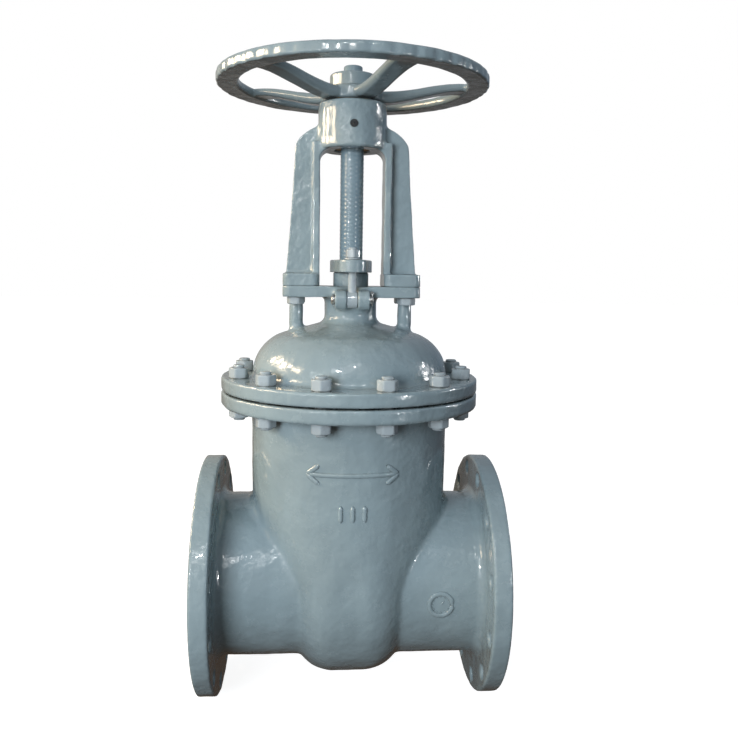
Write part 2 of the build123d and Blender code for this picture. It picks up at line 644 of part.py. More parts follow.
def race(z_low, ball_z, r_in, r_out):
    """One flat washer of a thrust bearing, with a groove for the balls in the side facing them."""
    with BuildPart() as washer:
        revolve(ring(r_in, r_out, z_low, z_low + RACE_T, edge=0.8), axis=Axis.Z)
        with Locations((0, 0, ball_z)):
            Torus(ball_circle_r, BALL_R + 0.1, mode=Mode.SUBTRACT)
    return washer.part


for name, low, collar_below in (("lower", CHAMBER_FLOOR_Z, False), ("upper", upper_bearing_z, True)):
    ball_z = low + BEARING_H / 2
    shaft_z = low if collar_below else low + BEARING_H - RACE_T
    housing_z = low + BEARING_H - RACE_T if collar_below else low
    shaft_race = race(shaft_z, ball_z, BEARING_BORE_R, BEARING_R - 1)
    shaft_race.label = f"{name}_shaft_race"
    export_step(shaft_race, f"parts/{name}_shaft_race.step")
    housing_race = race(housing_z, ball_z, BEARING_BORE_R + 1, BEARING_R)
    housing_race.label = f"{name}_housing_race"
    export_step(housing_race, f"parts/{name}_housing_race.step")
    with BuildPart() as balls:
        with Locations((0, 0, ball_z)):
            with PolarLocations(ball_circle_r, BALLS):
                Sphere(BALL_R)
    balls.part.label = f"{name}_balls"
    export_step(balls.part, f"parts/{name}_balls.step")
    with BuildPart() as cage:
        revolve(ring(BEARING_BORE_R + 0.8, BEARING_R - 0.8, ball_z - 2, ball_z + 2), axis=Axis.Z)
        with Locations((0, 0, ball_z)):
            with PolarLocations(ball_circle_r, BALLS):
                Cylinder(BALL_R + 0.05, 10, mode=Mode.SUBTRACT)
    cage.part.label = f"{name}_cage"
    export_step(cage.part, f"parts/{name}_cage.step")

with BuildPart() as bearing_retainer:
    revolve(ring(BEARING_BORE_R + 0.5, RETAINER_R, retainer_z, HUB_TOP_Z), axis=Axis.Z)
    with Locations((0, 0, HUB_TOP_Z)):
        with PolarLocations(BEARING_R - 4, 4, start_angle=45):
            Cylinder(3, 12, mode=Mode.SUBTRACT)
bearing_retainer.part.label = "bearing_retainer"
export_step(bearing_retainer.part, "parts/bearing_retainer.step")

with BuildPart() as retainer_screw:
    with Locations(Location((0, RETAINER_R, RETAINER_SCREW_Z), (-90, 0, 0))):
        Cylinder(3, HUB_R - RETAINER_R - 1, align=(Align.CENTER, Align.CENTER, Align.MIN))
retainer_screw.part.label = "retainer_screw"
export_step(retainer_screw.part, "parts/retainer_screw.step")

with BuildPart() as grease_fitting:
    with Locations(Location((0, -HUB_R + 6, OILER_Z), (90, 0, 0))):
        Cylinder(4, 6, align=(Align.CENTER, Align.CENTER, Align.MIN))
        with Locations((0, 0, 6)):
            Cylinder(OILER_HEAD_R, 1.6, align=(Align.CENTER, Align.CENTER, Align.MIN))
            Cylinder(2.2, 2, mode=Mode.SUBTRACT)
            Sphere(2.4)
grease_fitting.part.label = "grease_fitting"
export_step(grease_fitting.part, "parts/grease_fitting.step")

# ---- handwheel -------------------------------------------------------------------------------------
rim_in_r = WHEEL_R - RIM_W
with BuildPart() as handwheel:
    with BuildSketch(Plane.XZ):
        with BuildLine():
            Polyline((rim_in_r + 5, RIM_Z), (WHEEL_R - 2, RIM_Z), (WHEEL_R, RIM_Z + 2),
                     (WHEEL_R, RIM_Z + RIM_SIDE_H - 3))
            Spline((WHEEL_R, RIM_Z + RIM_SIDE_H - 3), (WHEEL_R - RIM_W / 2, RIM_Z + RIM_H),
                   (rim_in_r, RIM_Z + 8), tangents=[(0, 12), (0, -18)])
            Spline((rim_in_r, RIM_Z + 8), (rim_in_r + 5, RIM_Z), tangents=[(0, -6), (8, 0)])
        make_face()
    revolve(axis=Axis.Z)
    revolve(ring(0, WHEEL_HUB_R, WHEEL_HUB_Z, wheel_top_z, edge=3), axis=Axis.Z)
    for n in range(SPOKES):
        turn = FIRST_SPOKE_DEG + n * 360 / SPOKES
        sections = []
        # level out of the rim, then down to the hub
        for radius, height, width, depth in ((40, WHEEL_HUB_Z + 11, SPOKE_W + 6, SPOKE_H + 2),
                                             (95, WHEEL_HUB_Z + 15, SPOKE_W - 2, SPOKE_H),
                                             (165, RIM_Z + 5, SPOKE_W, SPOKE_H - 4),
                                             (rim_in_r + 14, RIM_Z + 8, SPOKE_W + 6, RIM_SIDE_H - 3)):
            along = Vector(1, 0, 0).rotate(Axis.Z, turn)
            across = Vector(0, 1, 0).rotate(Axis.Z, turn)
            with BuildSketch(Plane(origin=along * radius + Vector(0, 0, height),
                                   x_dir=across, z_dir=along)) as section:
                RectangleRounded(width, depth, depth / 2 - 1.5)
            sections.append(section.sketch)
        loft(sections)
    with Locations((0, 0, WHEEL_HUB_Z)):
        Cylinder(NUT_TOP_R, 4 * WHEEL_HUB_H, mode=Mode.SUBTRACT)
    add(key_block(2), mode=Mode.SUBTRACT)
handwheel.part.label = "handwheel"
export_step(handwheel.part, "parts/handwheel.step")

with BuildPart() as wheel_key:
    add(key_block(0))
wheel_key.part.label = "wheel_key"
export_step(wheel_key.part, "parts/wheel_key.step")

with BuildPart() as wheel_lock_nut:
    revolve(ring(NUT_TOP_R, LOCK_NUT_R, wheel_top_z, lock_nut_top, edge=2.5), axis=Axis.Z)
    # the four holes that a pin spanner takes
    with Locations((0, 0, lock_nut_top)):
        with PolarLocations((NUT_TOP_R + LOCK_NUT_R) / 2, 4, start_angle=45):
            Cylinder(SPANNER_HOLE_R, 2 * SPANNER_HOLE_DEPTH, mode=Mode.SUBTRACT)
wheel_lock_nut.part.label = "wheel_lock_nut"
export_step(wheel_lock_nut.part, "parts/wheel_lock_nut.step")
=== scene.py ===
import json
import math

import bpy
import numpy as np
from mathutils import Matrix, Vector
from mathutils.bvhtree import BVHTree


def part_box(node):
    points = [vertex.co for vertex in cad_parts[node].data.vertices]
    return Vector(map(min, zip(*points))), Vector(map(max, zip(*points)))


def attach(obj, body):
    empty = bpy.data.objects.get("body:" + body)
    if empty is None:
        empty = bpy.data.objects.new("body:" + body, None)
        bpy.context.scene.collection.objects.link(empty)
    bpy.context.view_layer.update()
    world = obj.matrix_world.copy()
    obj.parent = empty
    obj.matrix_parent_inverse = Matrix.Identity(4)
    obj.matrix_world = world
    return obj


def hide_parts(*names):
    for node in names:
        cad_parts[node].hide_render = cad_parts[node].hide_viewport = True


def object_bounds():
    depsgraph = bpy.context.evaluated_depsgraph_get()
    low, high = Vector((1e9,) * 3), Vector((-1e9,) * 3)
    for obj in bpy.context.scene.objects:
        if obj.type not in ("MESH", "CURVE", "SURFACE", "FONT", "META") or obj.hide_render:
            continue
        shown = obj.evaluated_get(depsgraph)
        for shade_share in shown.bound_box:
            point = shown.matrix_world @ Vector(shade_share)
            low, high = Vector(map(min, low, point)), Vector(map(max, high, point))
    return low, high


# The looks of a flanged wedge gate valve: painted castings, fasteners, the threaded stem, and the
# studio around them. Lengths are in metres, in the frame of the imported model.

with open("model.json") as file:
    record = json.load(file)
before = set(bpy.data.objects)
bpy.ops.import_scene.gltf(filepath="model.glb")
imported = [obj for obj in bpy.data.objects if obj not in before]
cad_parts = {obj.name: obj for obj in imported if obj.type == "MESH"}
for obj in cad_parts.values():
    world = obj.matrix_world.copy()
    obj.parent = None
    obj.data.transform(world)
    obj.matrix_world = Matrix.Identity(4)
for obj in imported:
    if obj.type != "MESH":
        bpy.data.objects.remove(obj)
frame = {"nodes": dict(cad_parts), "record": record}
cad_low, cad_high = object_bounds()
MM = 0.001

CASING = "valve_casing"


# ---- material nodes --------------------------------------------------------------------------------
class Nodes:
    """The node tree of one material, with short calls for the nodes that the materials share."""

    def __init__(self, name):
        self.material = bpy.data.materials.new(name)
        self.material.use_nodes = True
        self.tree = self.material.node_tree
        self.shader = self.tree.nodes["Principled BSDF"]
        self.place = self.node("ShaderNodeTexCoord").outputs["Object"]

    def node(self, kind, **settings):
        made = self.tree.nodes.new(kind)
        for key, value in settings.items():
            setattr(made, key, value)
        return made

    def link(self, source, target):
        self.tree.links.new(source, target)

    def noise(self, scale, detail=2.0, rough=0.5, stretch=(1, 1, 1)):
        """Noise with scale cycles to the metre, from 0 to 1, stretched along the axes."""
        mapping = self.node("ShaderNodeMapping")
        mapping.inputs["Scale"].default_value = stretch
        self.link(self.place, mapping.inputs["Vector"])
        made = self.node("ShaderNodeTexNoise")
        made.inputs["Scale"].default_value = scale
        made.inputs["Detail"].default_value = detail
        made.inputs["Roughness"].default_value = rough
        self.link(mapping.outputs["Vector"], made.inputs["Vector"])
        return made.outputs["Fac"]

    def spread(self, source, low, high, out_low=0.0, out_high=1.0):
        """source, with low to high spread out over out_low to out_high."""
        made = self.node("ShaderNodeMapRange", interpolation_type="SMOOTHSTEP")
        made.inputs["From Min"].default_value = low
        made.inputs["From Max"].default_value = high
        made.inputs["To Min"].default_value = out_low
        made.inputs["To Max"].default_value = out_high
        self.link(source, made.inputs["Value"])
        return made.outputs["Result"]

    def mix(self, share, first, second):
        """first where share is 0 and second where it is 1; each a colour or a node's output."""
        made = self.node("ShaderNodeMix", data_type="RGBA")
        for socket, value in ((made.inputs[0], share), (made.inputs[6], first), (made.inputs[7], second)):
            if isinstance(value, bpy.types.NodeSocket):
                self.link(value, socket)
            elif isinstance(value, float):
                socket.default_value = value
            else:
                socket.default_value = (*value, 1)
        return made.outputs[2]

    def bump(self, layers):
        """Relief from several (height output, depth in metres) layers, each on top of the last."""
        below = None
        for height, depth in layers:
            made = self.node("ShaderNodeBump")
            made.inputs["Strength"].default_value = 1.0
            made.inputs["Distance"].default_value = depth
            self.link(height, made.inputs["Height"])
            if below is not None:
                self.link(below, made.inputs["Normal"])
            below = made.outputs["Normal"]
        self.link(below, self.shader.inputs["Normal"])

    def crevices(self, distance):
        """1 on open surfaces, falling to 0 deep in corners and under edges."""
        made = self.node("ShaderNodeAmbientOcclusion", samples=6)
        made.inputs["Distance"].default_value = distance
        return made.outputs["AO"]


def enamel(name, colour, relief, rough, corner_shade):
    """Thick glossy paint over rough iron: relief scales the bumps under it; the last argument sets how dark
    the painted shade in corners and under edges is.
    """
    n = Nodes(name)
    darker = [c * 0.90 for c in colour]
    lighter = [min(1, c * 1.10 + 0.006) for c in colour]
    # dark brown tone, used for the painted shade in corners and also for the small real stains
    shade_and_stain = (colour[0] * 0.48, colour[1] * 0.42, colour[2] * 0.36)
    clouds = n.spread(n.noise(9, 4, 0.6), 0.35, 0.68)
    runs = n.spread(n.noise(20, 3, 0.55, (1, 1, 0.22)), 0.42, 0.72)
    coat = n.mix(clouds, darker, colour)
    coat = n.mix(n.spread(runs, 0, 1, 0, 0.35), coat, lighter)
    # Painted shade: the coat darkens towards the dark tone in corners and under edges, where the
    # surroundings hide the surface.
    shade_share = n.spread(n.crevices(0.022), 0.25, 0.72, corner_shade, 0.0)
    speck = n.spread(n.noise(330, 2, 0.7), 0.70, 0.76, 0.0, 0.4)
    coat = n.mix(shade_share, coat, shade_and_stain)
    coat = n.mix(speck, coat, shade_and_stain)
    n.link(coat, n.shader.inputs["Base Color"])
    patchy = n.spread(n.noise(26, 4, 0.6), 0.3, 0.7, rough, rough + 0.14)
    n.link(patchy, n.shader.inputs["Roughness"])
    n.shader.inputs["Specular IOR Level"].default_value = 0.5
    n.shader.inputs["Coat Weight"].default_value = 0.8
    n.shader.inputs["Coat Roughness"].default_value = 0.05
    n.bump([(n.noise(30, 2, 0.45), 2.6 * MM * relief),
            (n.noise(120, 3, 0.55), 0.42 * MM * relief),
            (n.noise(420, 2, 0.5), 0.07 * MM * relief)])
    return n.material


def metal(name, colour, rough, grain=(1, 1, 1), scratch=0.02, metallic=1.0, shade_and_stain=0.25):
    """Machined metal, its tool marks drawn out along the short axis of grain."""
    n = Nodes(name)
    dull = [c * 0.72 for c in colour]
    blotches = n.spread(n.noise(60, 4, 0.6), 0.35, 0.7)
    lines = n.noise(520, 3, 0.6, grain)
    tone = n.mix(n.spread(blotches, 0, 1, 0, 0.6), colour, dull)
    # Painted shade: the base colour darkens towards a fifth of itself in corners and under edges, where the
    # surroundings hide the surface; the last argument of metal sets how far.
    corner_shade = n.spread(n.crevices(0.006), 0.3, 0.8, shade_and_stain, 0.0)
    tone = n.mix(corner_shade, tone, [c * 0.2 for c in colour])
    n.link(tone, n.shader.inputs["Base Color"])
    n.shader.inputs["Metallic"].default_value = metallic
    n.link(n.spread(lines, 0.3, 0.7, rough, rough + 0.16), n.shader.inputs["Roughness"])
    n.bump([(lines, scratch * MM), (n.noise(90, 2, 0.5), 0.12 * MM)])
    return n.material


def woven(name, colour, pitch, rough):
    """Plaited or pressed fibre: slanted strands at pitch, matt, with painted shade in the grooves between
    them.
    """
    n = Nodes(name)
    strands = n.node("ShaderNodeTexWave", bands_direction="DIAGONAL", wave_profile="SIN")
    strands.inputs["Scale"].default_value = 1 / pitch / 3
    strands.inputs["Distortion"].default_value = 2.0
    strands.inputs["Detail"].default_value = 3.0
    n.link(n.place, strands.inputs["Vector"])
    # Painted shade: the colour falls to half in the low grooves of the strands' relief.
    tone = n.mix(strands.outputs["Fac"], [c * 0.5 for c in colour], colour)
    tone = n.mix(n.spread(n.noise(240, 3), 0.4, 0.7, 0, 0.5), tone, [min(1, c * 1.6) for c in colour])
    n.link(tone, n.shader.inputs["Base Color"])
    n.link(n.spread(n.noise(160, 2), 0.3, 0.7, rough - 0.12, rough + 0.05), n.shader.inputs["Roughness"])
    n.bump([(strands.outputs["Fac"], 0.25 * MM), (n.noise(700, 2), 0.06 * MM)])
    return n.material


ENAMEL_GREY = (0.242, 0.312, 0.332)
WHEEL_GREY = (0.225, 0.290, 0.310)
FASTENER_GREY = (0.34, 0.395, 0.415)
STEM_GREY = (0.195, 0.272, 0.310)

cast_enamel = enamel("cast_enamel", ENAMEL_GREY, 1.0, 0.17, 0.62)
frame_enamel = enamel("frame_enamel", ENAMEL_GREY, 1.9, 0.13, 0.6)
wheel_enamel = enamel("wheel_enamel", WHEEL_GREY, 0.8, 0.15, 0.55)
fastener_enamel = enamel("fastener_enamel", FASTENER_GREY, 0.45, 0.22, 0.7)
stem_enamel = enamel("stem_enamel", STEM_GREY, 0.4, 0.16, 0.6)
bright_steel = metal("bright_steel", (0.56, 0.57, 0.57), 0.26, (1, 1, 5))
ground_steel = metal("ground_steel", (0.68, 0.69, 0.70), 0.10, (1, 1, 8), scratch=0.004)
dark_steel = metal("dark_steel", (0.09, 0.095, 0.10), 0.3)
bronze = metal("bronze", (0.66, 0.47, 0.22), 0.24, (1, 1, 6))
seat_bronze = metal("seat_bronze", (0.70, 0.54, 0.30), 0.16, (6, 1, 1), scratch=0.008)
brass = metal("brass", (0.72, 0.56, 0.24), 0.22, (1, 1, 5))
primed_iron = metal("primed_iron", (0.16, 0.17, 0.175), 0.52, (1, 1, 1), scratch=0.3, metallic=0.3)
graphite = woven("graphite", (0.05, 0.05, 0.055), 3.5 * MM, 0.6)
fibre_sheet = woven("fibre_sheet", (0.13, 0.12, 0.11), 1.6 * MM, 0.85)

SLOT_MATERIALS = {
    "cast_enamel": cast_enamel, "wheel_enamel": wheel_enamel, "stem_steel": stem_enamel,
    "plated_steel": fastener_enamel, "pin_steel": bright_steel, "bearing_steel": ground_steel,
    "cage_brass": brass, "nut_bronze": bronze, "seat_bronze": seat_bronze,
    "wedge_iron": primed_iron, "gasket_sheet": fibre_sheet, "packing_graphite": graphite,
}
NODE_MATERIALS = {"grease_fitting": dark_steel, "gland_follower": frame_enamel}
slot_of_node = {row["node"]: row["material_slot"] for row in frame["record"]["subparts"]}
body_of_node = {node: body for body, members in frame["record"]["behaviour"]["bodies"].items()
                for node in members}


def dress_cad_nodes():
    """Every CAD piece gets the material of its slot; those that stay in view keep their own mesh."""
    for node, piece in frame["nodes"].items():
        piece.data.materials.clear()
        piece.data.materials.append(NODE_MATERIALS.get(node) or SLOT_MATERIALS[slot_of_node[node]])


# ---- mesh tools ------------------------------------------------------------------------------------
def mesh_object(name, corners, faces, material):
    """A new object from points and faces."""
    mesh = bpy.data.meshes.new(name)
    mesh.from_pydata([tuple(p) for p in corners], [], [tuple(f) for f in faces])
    mesh.validate()
    mesh.materials.append(material)
    mesh.shade_smooth()
    made = bpy.data.objects.new(name, mesh)
    bpy.context.scene.collection.objects.link(made)
    return made


def corners_of(mesh):
    flat = np.empty(len(mesh.vertices) * 3, np.float32)
    mesh.vertices.foreach_get("co", flat)
    return flat.reshape(-1, 3).astype(float)


def normals_of(mesh):
    flat = np.empty(len(mesh.vertices) * 3, np.float32)
    mesh.vertex_normals.foreach_get("vector", flat)
    return flat.reshape(-1, 3).astype(float)


def radius_of(points):
    return np.hypot(points[:, 0], points[:, 1])


def stand_for(piece, *nodes):
    """piece moves with, and is shown for, these CAD nodes."""
    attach(piece, body_of_node[nodes[0]])
    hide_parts(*nodes)
    return piece


class Relaxer:
    """Moves the points of a mesh towards the middle of their neighbours."""

    def __init__(self, mesh):
        edges = np.empty(len(mesh.edges) * 2, np.int32)
        mesh.edges.foreach_get("vertices", edges)
        self.a, self.b = edges.reshape(-1, 2).T
        self.count = len(mesh.vertices)
        self.neighbours = np.maximum(np.bincount(np.concatenate([self.a, self.b]),
                                                 minlength=self.count), 1)

    def gather(self, values):
        total = np.bincount(self.a, values[self.b], self.count)
        total += np.bincount(self.b, values[self.a], self.count)
        return total / self.neighbours

    def pull(self, points):
        """From each point to the middle of its neighbours."""
        return np.stack([self.gather(points[:, k]) for k in range(3)], axis=1) - points

    def widen(self, values):
        """The largest of each point's value and its neighbours' values."""
        wide = values.copy()
        np.maximum.at(wide, self.a, values[self.b])
        np.maximum.at(wide, self.b, values[self.a])
        return wide


def ripple(points, wavelength, seed):
    """A smooth uneven field from -1 to 1, about wavelength between its humps."""
    rng = np.random.default_rng(seed)
    total = np.zeros(len(points))
    waves = 9
    for _ in range(waves):
        heading = rng.normal(size=3)
        heading *= 2 * math.pi / (wavelength * rng.uniform(0.75, 1.5) * np.linalg.norm(heading))
        total += np.sin(points @ heading + rng.uniform(0, 2 * math.pi))
    return total / math.sqrt(waves)


# the most triangles that one casting may keep
MAX_TRIANGLES = 190_000
SMOOTH_ROUNDS = 5
# hollows of this depth, in voxels, start to be filled, and those of the second are filled in full
HOLLOW_STARTS, HOLLOW_FULL = 0.07, 0.17
LONG_WAVE, SHORT_WAVE = 0.07, 0.025


def set_corners(mesh, points):
    mesh.vertices.foreach_set("co", points.astype(np.float32).ravel())
    mesh.update()


def keep_in_box(mesh, node):
    """No corner of the mesh stays outside the CAD piece's own box."""
    low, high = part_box(node)
    set_corners(mesh, np.clip(corners_of(mesh), np.array(low), np.array(high)))


def even_mesh(node, voxel):
    """The CAD piece's solid, made again from even squares of the voxel's size."""
    source = frame["nodes"][node]
    solid = source.copy()
    solid.data = source.data.copy()
    solid.hide_render = False
    solid.hide_viewport = False
    solid.parent = None
    bpy.context.scene.collection.objects.link(solid)
    remesh = solid.modifiers.new("even", "REMESH")
    remesh.mode = "VOXEL"
    remesh.voxel_size = voxel
    bpy.context.view_layer.update()
    mesh = bpy.data.meshes.new_from_object(solid.evaluated_get(bpy.context.evaluated_depsgraph_get()))
    bpy.data.objects.remove(solid)
    return mesh


def fill_corners(points, normals, relax, voxel, steps, true_faces):
    """Moves the points of inside corners outwards, step by step, until a fillet rounds them."""
    inward = (relax.pull(points) * normals).sum(axis=1) / voxel
    share = np.clip((inward - HOLLOW_STARTS) / (HOLLOW_FULL - HOLLOW_STARTS), 0, 1)
    share *= 1 - true_faces
    reach = max(2, int(round(math.sqrt(steps) * 0.9)))
    for _ in range(reach):
        share = relax.widen(share)
    for _ in range(reach):
        share = 0.5 * share + 0.5 * relax.gather(share)
    for _ in range(steps):
        points += 0.8 * share[:, None] * relax.pull(points)


def thin_out(piece, node):
    """Leaves the piece no more triangles than a casting may keep."""
    triangles = 2 * len(piece.data.polygons)
    if triangles <= MAX_TRIANGLES:
        return
    thin = piece.modifiers.new("thin", "DECIMATE")
    thin.ratio = MAX_TRIANGLES / triangles
    bpy.context.view_layer.update()
    fewer = bpy.data.meshes.new_from_object(piece.evaluated_get(bpy.context.evaluated_depsgraph_get()))
    piece.modifiers.clear()
    piece.data = fewer
    keep_in_box(fewer, node)


def never(points):
    """No face of the piece is cut by a tool."""
    return np.zeros(len(points))


def casting(node, material, voxel, fillet_steps, unevenness, seed, machined=never):
    """A cast piece as it leaves the sand: inside corners filled, outside ones eased, walls a little
    uneven. machined(points) is 1 on faces that a tool has cut, which stay true."""
    mesh = even_mesh(node, voxel)
    relax = Relaxer(mesh)
    points = corners_of(mesh)
    for _ in range(SMOOTH_ROUNDS):
        points += 0.5 * relax.pull(points)
        points -= 0.52 * relax.pull(points)
    set_corners(mesh, points)
    if fillet_steps:
        fill_corners(points, normals_of(mesh), relax, voxel, fillet_steps, machined(points))
    set_corners(mesh, points)
    swell = 0.7 * ripple(points, LONG_WAVE, seed) + 0.3 * ripple(points, SHORT_WAVE, seed + 1)
    swell *= unevenness * (1 - machined(points))
    set_corners(mesh, points + normals_of(mesh) * swell[:, None])
    keep_in_box(mesh, node)
    mesh.materials.clear()
    mesh.materials.append(material)
    piece = bpy.data.objects.new(node + "_cast", mesh)
    bpy.context.scene.collection.objects.link(piece)
    thin_out(piece, node)
    piece.data.shade_smooth()
    return stand_for(piece, node)


GRIPS = 46
GRIP_DEPTH = 2.6 * MM
GRIP_FACE = 5 * MM


def grip_waves(wheel):
    """Shallow uneven hollows for the fingers around the rim's outer face."""
    points = corners_of(wheel.data)
    radius = radius_of(points)
    turn = np.arctan2(points[:, 1], points[:, 0])
    outer = np.clip((radius - (radius.max() - GRIP_FACE)) / (3 * MM), 0, 1)
    wave = np.sin(GRIPS * turn + 1.1 * np.sin(3 * turn) + 0.7 * np.sin(7 * turn))
    uneven = 0.65 + 0.35 * np.sin(5 * turn + 1)
    hollow = GRIP_DEPTH * outer * uneven * (0.5 + 0.5 * wave) ** 2
    points[:, :2] *= (1 - hollow / radius.max())[:, None]
    set_corners(wheel.data, points)


def lathe_mesh(profile, segments):
    """Points and faces of a closed profile of (radius, height) turned about Z."""
    turns = np.linspace(0, 2 * math.pi, segments, endpoint=False)
    points = [(r * math.cos(t), r * math.sin(t), z) for t in turns for r, z in profile]
    rows = len(profile)
    faces = []
    for s in range(segments):
        after = (s + 1) % segments
        for k in range(rows):
            up = (k + 1) % rows
            faces.append((s * rows + k, after * rows + k, after * rows + up, s * rows + up))
    return np.array(points), faces


def repeat_mesh(points, faces, places):
    """One mesh of copies at (x, y, z, turn in radians) places."""
    all_points, all_faces = [], []
    for x, y, z, turn in places:
        c, s = math.cos(turn), math.sin(turn)
        start = len(points) * len(all_points)
        moved = points @ np.array([[c, s, 0], [-s, c, 0], [0, 0, 1]]) + np.array([x, y, z])
        all_points.append(moved)
        all_faces.extend(tuple(i + start for i in face) for face in faces)
    return np.concatenate(all_points), all_faces


# ---- threaded fasteners ------------------------------------------------------------------------------
# how far in from a nut's ends its rows of points lie, and how much wider than high its chamfer is
NUT_LEVELS = (0, 0.25, 0.6, 1.1, 1.8, 2.8, 4.2)
CHAMFER = 0.9 / 0.62
ON_AXIS = 1e-5


def hex_mesh(flats, height, bore_r, soft):
    """A hexagon nut or bolt head on z = 0: turned corners, every edge eased by soft."""
    per_side = 10
    turns = np.linspace(0, 2 * math.pi, 6 * per_side, endpoint=False)
    apothem = flats / 2
    side = (turns + math.pi / 6) % (math.pi / 3) - math.pi / 6
    hexagon = apothem / np.cos(side)
    limit = apothem * 1.118
    hexagon = limit - np.log1p(np.exp((limit - hexagon) / soft)) * soft
    heights = [k * MM for k in NUT_LEVELS] + [height / 2]
    heights += [height - k * MM for k in reversed(NUT_LEVELS)]
    rows = []
    for z in heights:
        edge = min(z, height - z)
        turned = apothem * 0.965 + edge * CHAMFER
        blend = np.minimum(hexagon, turned)
        near = np.exp(-np.abs(hexagon - turned) / soft) * soft * 0.35
        rows.append(np.stack([(blend - near) * np.cos(turns), (blend - near) * np.sin(turns),
                              np.full(len(turns), z)], axis=1))
    for radius, z in ((apothem * 0.80, height), (bore_r, height), (bore_r, 0), (apothem * 0.80, 0)):
        rows.append(np.stack([radius * np.cos(turns), radius * np.sin(turns),
                              np.full(len(turns), z)], axis=1))
    count = len(turns)
    faces = []
    for k in range(len(rows)):
        up = (k + 1) % len(rows)
        for s in range(count):
            after = (s + 1) % count
            faces.append((k * count + s, k * count + after, up * count + after, up * count + s))
    return np.concatenate(rows), faces


def stud_profile(radius, low, high, thread, pitch):
    """Closed half profile of a stud, threaded for a length from each end."""
    deep = 0.55 * pitch
    points = [(ON_AXIS, low), (radius - 1.6 * MM, low), (radius - 0.2 * MM, low + 1.4 * MM)]
    z = low + 1.6 * MM
    while z < low + thread:
        points += [(radius, z), (radius - deep, z + pitch / 2)]
        z += pitch
    points += [(radius, z), (radius, high - thread)]
    z = high - thread
    while z < high - 1.6 * MM - pitch:
        points += [(radius - deep, z + pitch / 2), (radius, z + pitch)]
        z += pitch
    points += [(radius - 0.2 * MM, high - 1.4 * MM), (radius - 1.6 * MM, high), (ON_AXIS, high)]
    return points


COVER_BOLTS = 12
COVER_BOLT_CIRCLE = 215 * MM
# degrees that each nut is turned on from the last, so that no two lie alike
NUT_TURN = 37
COVER_STUD_R = 11 * MM
COVER_NUT_FLATS = 34 * MM
COVER_STUD_THREAD = 30 * MM
COARSE_PITCH = 2.5 * MM
WASHER_BORE_R = 8.5 * MM
EYEBOLT_R = 8 * MM
GLAND_NUT_FLATS = 24 * MM
YOKE_BOLT_X = 104 * MM
YOKE_BOLT_Y = 34 * MM
YOKE_BOLT_R = 9.95 * MM
YOKE_HEAD_FLATS = 30 * MM
YOKE_HEAD_H = 14 * MM


def cover_fasteners():
    """Twelve studs through the body and bonnet flanges, with a nut at each end."""
    places = []
    for k in range(COVER_BOLTS):
        angle = 2 * math.pi * (k + 0.5) / COVER_BOLTS
        places.append((COVER_BOLT_CIRCLE * math.cos(angle), COVER_BOLT_CIRCLE * math.sin(angle),
                       0.0, math.radians(NUT_TURN * k)))
    for node in ("bonnet_nuts_top", "bonnet_nuts_bottom"):
        low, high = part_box(node)
        points, faces = hex_mesh(COVER_NUT_FLATS, high.z - low.z, COVER_STUD_R, 0.5 * MM)
        raised = [(x, y, low.z, turn) for x, y, _, turn in places]
        nuts = mesh_object(node + "_painted", *repeat_mesh(points, faces, raised), fastener_enamel)
        stand_for(nuts, node)
    low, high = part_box("bonnet_studs")
    profile = stud_profile(COVER_STUD_R, low.z, high.z, COVER_STUD_THREAD, COARSE_PITCH)
    points, faces = lathe_mesh(profile, 28)
    studs = mesh_object("bonnet_studs_threaded", *repeat_mesh(points, faces, places), fastener_enamel)
    stand_for(studs, "bonnet_studs")


def gland_fasteners():
    """Nuts and washers on the two eyebolts, and the eyebolts' own threaded shanks."""
    low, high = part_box("gland_washers")
    washer_r = high.x
    reach = high.y - washer_r
    top = high.z
    profile = [(WASHER_BORE_R, low.z), (washer_r - 0.5 * MM, low.z), (washer_r, low.z + 0.5 * MM),
               (washer_r, top - 0.6 * MM), (washer_r - 0.6 * MM, top), (WASHER_BORE_R, top)]
    points, faces = lathe_mesh(profile, 40)
    sides = [(0, -reach, 0, 0), (0, reach, 0, 0)]
    washers = mesh_object("gland_washers_turned", *repeat_mesh(points, faces, sides), fastener_enamel)
    stand_for(washers, "gland_washers")
    low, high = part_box("gland_nuts")
    points, faces = hex_mesh(GLAND_NUT_FLATS, high.z - low.z, EYEBOLT_R, 0.45 * MM)
    places = [(0, y, low.z, math.radians(10)) for _, y, _, _ in sides]
    nuts = mesh_object("gland_nuts_painted", *repeat_mesh(points, faces, places), fastener_enamel)
    stand_for(nuts, "gland_nuts")


def yoke_fasteners():
    """Four hexagon bolts that come up through the bonnet's plate into the yoke's feet."""
    low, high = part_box("yoke_bolts")
    places = [(side * YOKE_BOLT_X, row * YOKE_BOLT_Y, low.z, math.radians(20))
              for side in (-1, 1) for row in (-1, 1)]
    points, faces = hex_mesh(YOKE_HEAD_FLATS, YOKE_HEAD_H, 1 * MM, 0.45 * MM)
    head_points, head_faces = repeat_mesh(points, faces, places)
    profile = stud_profile(YOKE_BOLT_R, low.z + YOKE_HEAD_H - 1 * MM, high.z, 20 * MM, COARSE_PITCH)
    points, faces = lathe_mesh(profile, 24)
    shanks = [(x, y, 0, 0) for x, y, _, _ in places]
    shank_points, shank_faces = repeat_mesh(points, faces, shanks)
    start = len(head_points)
    joined = head_faces + [tuple(i + start for i in face) for face in shank_faces]
    bolts = mesh_object("yoke_bolts_painted", np.concatenate([head_points, shank_points]), joined,
                        fastener_enamel)
    stand_for(bolts, "yoke_bolts")


# ---- stem --------------------------------------------------------------------------------------------
STEM_R = 22 * MM
STEM_TIP_R = 17.5 * MM
STEM_TIP_H = 15 * MM
HEAD_H = 22 * MM
HEAD_HALF_X = 33 * MM
HEAD_HALF_Y = 32 * MM
HEAD_EDGE = 1.5 * MM
